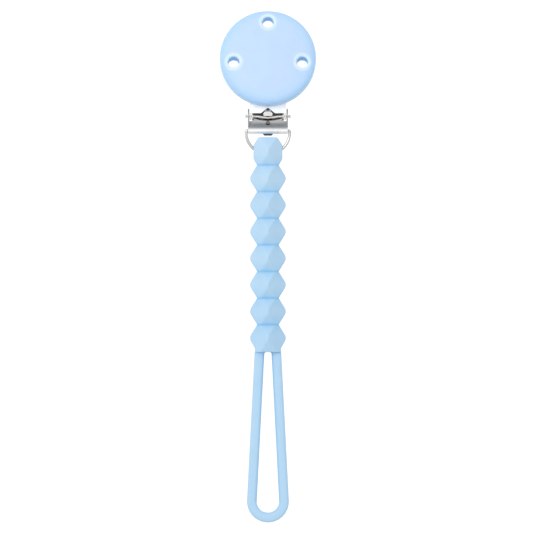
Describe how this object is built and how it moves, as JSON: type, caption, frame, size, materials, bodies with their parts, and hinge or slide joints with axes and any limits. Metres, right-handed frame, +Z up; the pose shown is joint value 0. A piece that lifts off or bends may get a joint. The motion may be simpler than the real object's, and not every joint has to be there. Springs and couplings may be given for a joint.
{
  "type": "soother clip",
  "caption": "Soother holder: round silicone-faced garment clip with steel jaw and lever, wire D-ring, and a one-piece silicone strap of faceted beads ending in a long loop.",
  "frame": {"origin": "middle of the bite, where the pad of the jaw meets the back of the fixed plate", "axes": "+Z up along the hanging strap, -Y out of the front of the round face, +X to the viewer's right"},
  "size_m": [0.04, 0.015, 0.2131],
  "materials": {
    "face_silicone": "satin silicone",
    "strap_silicone": "satin silicone",
    "core_plastic": "moulded",
    "pad_plastic": "moulded",
    "plated_sheet": "polished nickel plate",
    "plated_wire": "polished nickel plate",
    "rivet_steel": "polished nickel plate"
  },
  "bodies": {
    "clip_body": {"face_cover": "face_silicone", "face_core": "core_plastic", "face_rivets": "rivet_steel", "fixed_plate": "plated_sheet", "pivot_pin": "plated_wire"},
    "jaw": {"jaw_plate": "plated_sheet", "jaw_pad": "pad_plastic"},
    "lever": {"cam_lever": "plated_sheet"},
    "ring": {"d_ring": "plated_wire"},
    "bead_1_body": {"bead_1": "strap_silicone"},
    "bead_2_body": {"bead_2": "strap_silicone"},
    "bead_3_body": {"bead_3": "strap_silicone"},
    "bead_4_body": {"bead_4": "strap_silicone"},
    "bead_5_body": {"bead_5": "strap_silicone"},
    "bead_6_body": {"bead_6": "strap_silicone"},
    "bead_7_body": {"bead_7": "strap_silicone"},
    "bead_8_body": {"bead_8": "strap_silicone"},
    "loop_upper_body": {"loop_upper": "strap_silicone"},
    "loop_middle_body": {"loop_middle": "strap_silicone"},
    "loop_lower_body": {"loop_lower": "strap_silicone"}
  },
  "joints": [
    {"name": "lever_swing", "type": "hinge", "parent": "clip_body", "child": "lever", "pos_m": [0, -0.00224, -0.02198], "axis": [-1, 0, 0], "range_deg": [0, 85]},
    {"name": "jaw_swing", "type": "hinge", "parent": "clip_body", "child": "jaw", "pos_m": [0, -0.00224, -0.02198], "axis": [-1, 0, 0], "range_deg": [0, 21.25]},
    {"name": "ring_swing", "type": "hinge", "parent": "lever", "child": "ring", "pos_m": [0, -0.00376, -0.02798], "axis": [1, 0, 0], "range_deg": [-75, 30]},
    {"name": "strap_swing", "type": "hinge", "parent": "ring", "child": "bead_1_body", "pos_m": [0, -0.00376, -0.03648], "axis": [1, 0, 0], "range_deg": [-20, 10]},
    {"name": "neck_1_bend", "type": "hinge", "parent": "bead_1_body", "child": "bead_2_body", "pos_m": [0, -0.00376, -0.04238], "axis": [1, 0, 0], "range_deg": [-15, 15], "stiffness_Nm_per_rad": 0.02},
    {"name": "neck_2_bend", "type": "hinge", "parent": "bead_2_body", "child": "bead_3_body", "pos_m": [0, -0.00376, -0.05345], "axis": [0, 1, 0], "range_deg": [-15, 15], "stiffness_Nm_per_rad": 0.02},
    {"name": "neck_3_bend", "type": "hinge", "parent": "bead_3_body", "child": "bead_4_body", "pos_m": [0, -0.00376, -0.06452], "axis": [1, 0, 0], "range_deg": [-15, 15], "stiffness_Nm_per_rad": 0.02},
    {"name": "neck_4_bend", "type": "hinge", "parent": "bead_4_body", "child": "bead_5_body", "pos_m": [0, -0.00376, -0.07559], "axis": [0, 1, 0], "range_deg": [-15, 15], "stiffness_Nm_per_rad": 0.02},
    {"name": "neck_5_bend", "type": "hinge", "parent": "bead_5_body", "child": "bead_6_body", "pos_m": [0, -0.00376, -0.08666], "axis": [1, 0, 0], "range_deg": [-15, 15], "stiffness_Nm_per_rad": 0.02},
    {"name": "neck_6_bend", "type": "hinge", "parent": "bead_6_body", "child": "bead_7_body", "pos_m": [0, -0.00376, -0.09773], "axis": [0, 1, 0], "range_deg": [-15, 15], "stiffness_Nm_per_rad": 0.02},
    {"name": "neck_7_bend", "type": "hinge", "parent": "bead_7_body", "child": "bead_8_body", "pos_m": [0, -0.00376, -0.1088], "axis": [1, 0, 0], "range_deg": [-15, 15], "stiffness_Nm_per_rad": 0.02},
    {"name": "loop_upper_bend", "type": "hinge", "parent": "bead_8_body", "child": "loop_upper_body", "pos_m": [0, -0.00376, -0.12387], "axis": [1, 0, 0], "range_deg": [-35, 35], "stiffness_Nm_per_rad": 0.006},
    {"name": "loop_middle_bend", "type": "hinge", "parent": "loop_upper_body", "child": "loop_middle_body", "pos_m": [0, -0.00376, -0.14387], "axis": [1, 0, 0], "range_deg": [-35, 35], "stiffness_Nm_per_rad": 0.006},
    {"name": "loop_lower_bend", "type": "hinge", "parent": "loop_middle_body", "child": "loop_lower_body", "pos_m": [0, -0.00376, -0.16387], "axis": [1, 0, 0], "range_deg": [-35, 35], "stiffness_Nm_per_rad": 0.006}
  ],
  "couplings": [
    {"joint": "jaw_swing", "follows": "lever_swing", "ratio": 0.25}
  ]
}
